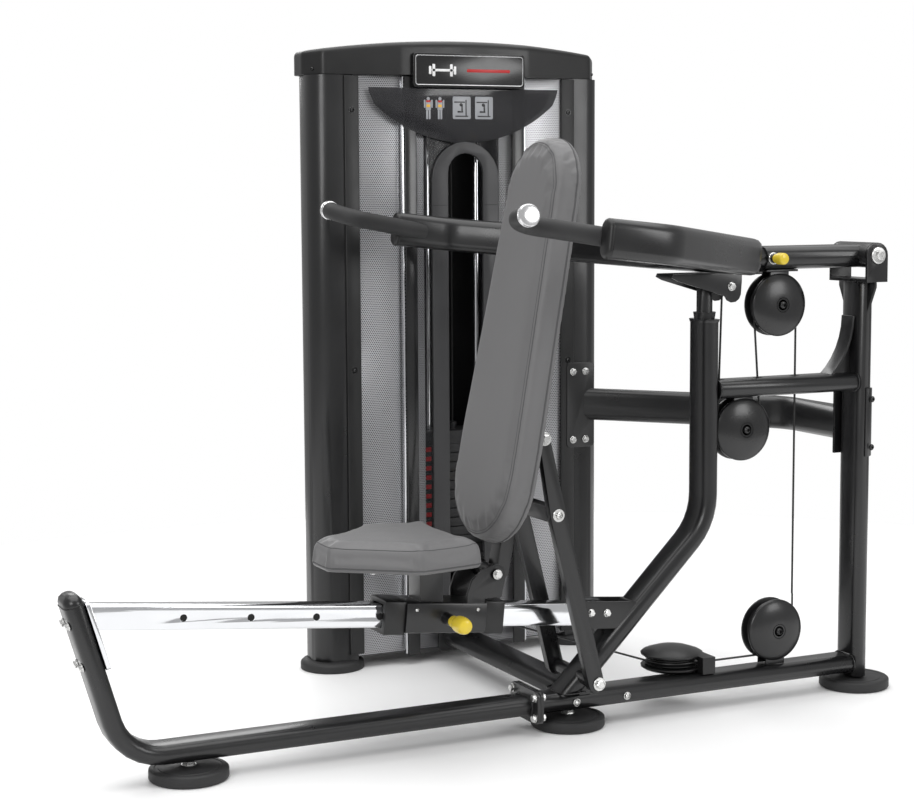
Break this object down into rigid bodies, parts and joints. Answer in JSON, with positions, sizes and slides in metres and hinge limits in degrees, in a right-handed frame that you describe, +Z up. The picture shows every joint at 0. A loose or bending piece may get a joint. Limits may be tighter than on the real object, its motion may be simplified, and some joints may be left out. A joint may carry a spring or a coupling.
{
  "type": "shoulder press machine",
  "caption": "Selectorised shoulder press machine with a seat and reclining back that slide on a chromed rail, a pivoting press yoke and a cable-driven weight tower.",
  "frame": {"origin": "centre of the middle foot's contact face, on the floor", "axes": "-X towards the user's front, +X towards the rear upright, +Y towards the weight tower, +Z up"},
  "size_m": [2.0277, 1.411, 1.555],
  "materials": {
    "frame_paint": "satin black powder coat",
    "black_plastic": "moulded black plastic",
    "rubber": "soft black rubber",
    "vinyl": "mid-grey coated upholstery cloth",
    "chrome": "polished chrome plate",
    "zinc": "bright zinc plate",
    "yellow": "glossy yellow plastic",
    "silver_panel": "finely perforated silver sheet",
    "smoked_cover": "smoked clear plastic",
    "cable_jacket": "black jacketed steel cable",
    "weight_iron": "dark painted weight plates"
  },
  "bodies": {
    "frame": {"front_base_tube": "frame_paint", "rear_base_tube": "frame_paint", "middle_post": "frame_paint", "rear_upright": "frame_paint", "cross_tube": "frame_paint", "pivot_bracket": "frame_paint", "pivot_pin": "zinc", "tower_beam": "frame_paint", "beam_clamp_plate": "frame_paint", "tower_tie_tube": "frame_paint", "seat_rail": "chrome", "front_foot": "rubber", "middle_foot": "rubber", "rear_foot": "rubber", "mid_pulley_guard": "black_plastic", "low_pulley_guard": "black_plastic", "floor_pulley_guard": "black_plastic", "cable_low_run": "cable_jacket", "cable_mid_turn": "cable_jacket", "tower_left_column": "frame_paint", "tower_right_column": "frame_paint", "front_panel": "silver_panel", "front_cover": "smoked_cover", "slot_bezel": "black_plastic", "sign_plate": "black_plastic", "tower_cap": "black_plastic", "rear_shroud": "frame_paint", "tower_base": "frame_paint", "tower_header": "frame_paint", "guide_rod_left": "chrome", "guide_rod_right": "chrome", "weight_stack": "weight_iron"},
    "press_arm": {"arm_sleeve": "frame_paint", "cable_anchor_bracket": "frame_paint", "arm_pulley_guard": "black_plastic", "cable_over_arm": "cable_jacket", "cable_riser": "cable_jacket", "cable_drop": "cable_jacket", "cable_lift": "cable_jacket"},
    "arm_wheel": {"arm_pulley": "black_plastic"},
    "yoke": {"press_yoke": "frame_paint", "left_handle": "rubber", "right_handle": "rubber"},
    "arm_lock": {"arm_pin": "yellow"},
    "carriage": {"seat_carriage": "frame_paint", "carriage_guide_front": "black_plastic", "carriage_guide_rear": "black_plastic", "seat_pad": "vinyl"},
    "seat_lock": {"seat_pin": "yellow"},
    "backrest": {"backrest_frame": "frame_paint", "backrest_pad": "vinyl"},
    "strut": {"recline_strut": "frame_paint"},
    "lifted_stack": {"lifted_weights": "weight_iron", "cable_stack": "cable_jacket"},
    "selector": {"selector_pin": "yellow"},
    "mid_wheel": {"mid_pulley": "black_plastic"},
    "low_wheel": {"low_pulley": "black_plastic"},
    "floor_wheel": {"floor_pulley": "black_plastic"},
    "tower_top_wheel": {"tower_top_pulley": "black_plastic"},
    "tower_low_wheel": {"tower_low_pulley": "black_plastic"}
  },
  "joints": [
    {"name": "press_arm_pivot", "type": "hinge", "parent": "frame", "child": "press_arm", "pos_m": [0.785, 0, 1.047], "axis": [0, 1, 0], "range_deg": [0, 40], "deforming": ["cable_riser", "cable_drop", "cable_lift"]},
    {"name": "arm_extension", "type": "slide", "parent": "press_arm", "child": "yoke", "axis": [-1, 0, 0], "range_m": [0, 0.1]},
    {"name": "arm_pin_pull", "type": "slide", "parent": "press_arm", "child": "arm_lock", "axis": [0, -1, 0], "range_m": [0, 0.01], "stiffness_N_per_m": 300, "springref_m": -0.004},
    {"name": "seat_travel", "type": "slide", "parent": "frame", "child": "carriage", "axis": [-0.9957, 0, 0.0929], "range_m": [0, 0.435]},
    {"name": "seat_pin_pull", "type": "slide", "parent": "carriage", "child": "seat_lock", "axis": [0, -1, 0], "range_m": [0, 0.01], "stiffness_N_per_m": 300, "springref_m": -0.004},
    {"name": "backrest_recline", "type": "hinge", "parent": "carriage", "child": "backrest", "pos_m": [-0.203, 0, 0.374], "axis": [0, 1, 0], "range_deg": [0, 46]},
    {"name": "strut_swing", "type": "hinge", "parent": "frame", "child": "strut", "pos_m": [0.022, 0, 0.116], "axis": [0, -1, 0], "range_deg": [0, 25]},
    {"name": "weight_lift", "type": "slide", "parent": "frame", "child": "lifted_stack", "axis": [0, 0, 1], "range_m": [0, 0.61], "deforming": ["cable_stack"]},
    {"name": "selector_pull", "type": "slide", "parent": "lifted_stack", "child": "selector", "axis": [0, -1, 0], "range_m": [0, 0.07]},
    {"name": "arm_pulley_spin", "type": "hinge", "parent": "press_arm", "child": "arm_wheel", "pos_m": [0.548, 0, 0.936], "axis": [0, -1, 0], "range_deg": [0, 450]},
    {"name": "mid_pulley_spin", "type": "hinge", "parent": "frame", "child": "mid_wheel", "pos_m": [0.452, 0, 0.65], "axis": [0, 1, 0], "range_deg": [0, 300]},
    {"name": "low_pulley_spin", "type": "hinge", "parent": "frame", "child": "low_wheel", "pos_m": [0.549, 0, 0.1655], "axis": [0, -1, 0], "range_deg": [0, 640]},
    {"name": "floor_pulley_spin", "type": "hinge", "parent": "frame", "child": "floor_wheel", "pos_m": [0.31, 0.059, 0.1065], "axis": [0, 0, 1], "range_deg": [0, 640]},
    {"name": "tower_top_pulley_spin", "type": "hinge", "parent": "frame", "child": "tower_top_wheel", "pos_m": [0.072, 0.805, 1.39], "axis": [-1, 0, 0], "range_deg": [0, 720]},
    {"name": "tower_low_pulley_spin", "type": "hinge", "parent": "frame", "child": "tower_low_wheel", "pos_m": [0.08297, 0.80622, 0.1565], "axis": [-0.9756, -0.2194, 0], "range_deg": [0, 720]}
  ],
  "couplings": [
    {"joint": "weight_lift", "follows": "press_arm_pivot", "m_per_rad": 0.865},
    {"joint": "arm_pulley_spin", "follows": "press_arm_pivot", "ratio": 10.5},
    {"joint": "mid_pulley_spin", "follows": "press_arm_pivot", "ratio": 6.5},
    {"joint": "low_pulley_spin", "follows": "press_arm_pivot", "ratio": 14.7},
    {"joint": "floor_pulley_spin", "follows": "press_arm_pivot", "ratio": 14.7},
    {"joint": "tower_top_pulley_spin", "follows": "press_arm_pivot", "ratio": 17.3},
    {"joint": "tower_low_pulley_spin", "follows": "press_arm_pivot", "ratio": 17.3},
    {"joint": "backrest_recline", "follows": "seat_travel", "rad_per_m": 1.8354},
    {"joint": "strut_swing", "follows": "seat_travel", "rad_per_m": 0.99}
  ]
}
